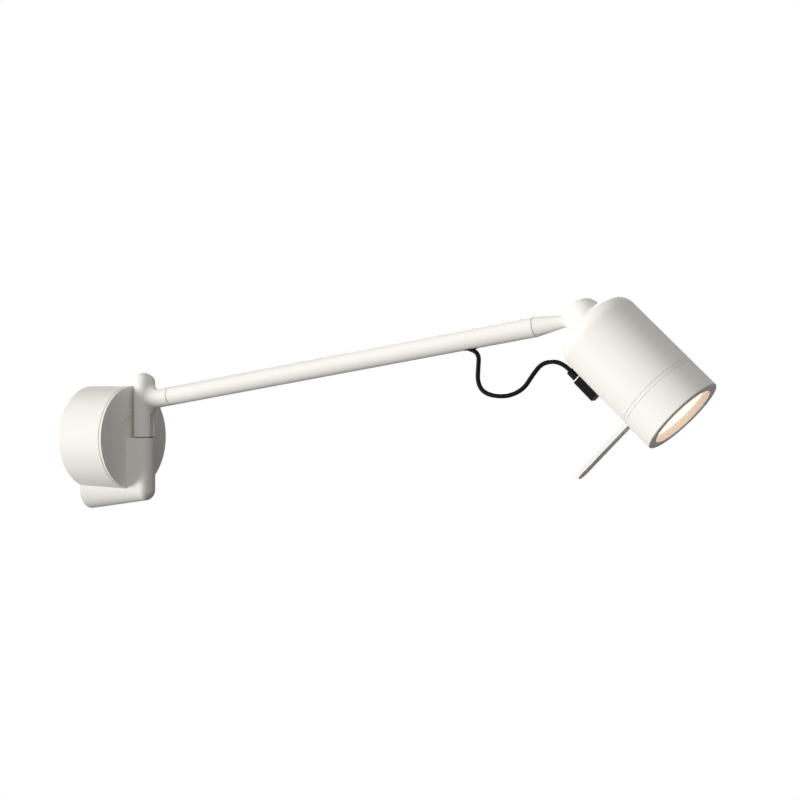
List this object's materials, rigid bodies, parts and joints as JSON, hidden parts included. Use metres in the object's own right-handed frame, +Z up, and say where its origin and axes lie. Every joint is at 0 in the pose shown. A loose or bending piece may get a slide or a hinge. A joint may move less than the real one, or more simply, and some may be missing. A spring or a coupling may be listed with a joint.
{
  "type": "swing arm wall sconce",
  "caption": "Swing arm wall sconce: round wall drum, bracket with vertical pivot, rising tube arm and a cylindrical spot on a ball seat, with a lever ring and a short plug-in cable.",
  "frame": {"origin": "centre of the drum's back, on the wall face", "axes": "+Z up, +Y into the wall, the lamp stands out along -Y, +X to the right for someone facing the wall"},
  "size_m": [0.1, 0.618, 0.1897],
  "materials": {
    "white_paint": "satin warm white paint",
    "zinc_steel": "zinc plated sheet",
    "screw_steel": "plain screw steel",
    "bright_steel": "ground shaft steel",
    "grey_plastic": "moulded, matt",
    "black_plastic": "moulded, fine grain",
    "bush_polymer": "self-lubricating polymer",
    "cable_sheath": "extruded round sheath, satin",
    "nickel_magnet": "nickel plated",
    "bare_aluminium": "bare, fine turned",
    "board_white": "white solder mask",
    "phosphor": "silicone with phosphor",
    "reflector_bright": "vapour coated",
    "opal_lens": "opal, lit from behind"
  },
  "bodies": {
    "wall_base": {"wall_plate": "zinc_steel", "carrier_frame": "zinc_steel", "drum_housing": "white_paint", "front_cover": "white_paint", "bracket": "white_paint", "boss_screws": "screw_steel", "housing_grub_screws": "screw_steel", "led_driver": "grey_plastic", "terminal_block": "grey_plastic", "post_bushes": "bush_polymer", "swing_stop_screw": "screw_steel", "supply_lead": "cable_sheath"},
    "arm": {"swing_shaft": "bright_steel", "arm_post": "white_paint", "arm_tube": "white_paint", "ball_neck": "white_paint", "arm_lead": "cable_sheath", "cable_grommet": "black_plastic", "head_cable": "cable_sheath"},
    "ball_seat": {"seat_liner": "bush_polymer"},
    "head": {"head_housing": "white_paint", "seat_magnet": "nickel_magnet", "heat_spreader": "bare_aluminium", "led_board": "board_white", "led_emitter": "phosphor", "head_lead": "cable_sheath", "reflector": "reflector_bright", "lens": "opal_lens", "front_cap": "white_paint", "cap_grub_screws": "screw_steel", "socket_block": "black_plastic", "socket_collar": "bare_aluminium", "cable_plug": "black_plastic"},
    "lever": {"lever_ring": "white_paint"}
  },
  "joints": [
    {"name": "arm_swing", "type": "hinge", "parent": "wall_base", "child": "arm", "pos_m": [0, -0.0632, 0], "axis": [0, 0, 1], "range_deg": [-90, 90]},
    {"name": "head_tilt", "type": "hinge", "parent": "arm", "child": "ball_seat", "pos_m": [0, -0.51099, 0.10372], "axis": [1, 0, 0], "range_deg": [-60, 22], "deforming": ["head_cable"]},
    {"name": "head_pan", "type": "hinge", "parent": "ball_seat", "child": "head", "pos_m": [0, -0.51099, 0.10372], "axis": [0, -0.7009, 0.7133], "range_deg": [-30, 30], "deforming": ["head_cable"]},
    {"name": "lever_turn", "type": "hinge", "parent": "head", "child": "lever", "pos_m": [0, -0.51099, 0.10372], "axis": [0, -0.7133, -0.7009], "range_deg": [-60, 60]}
  ]
}
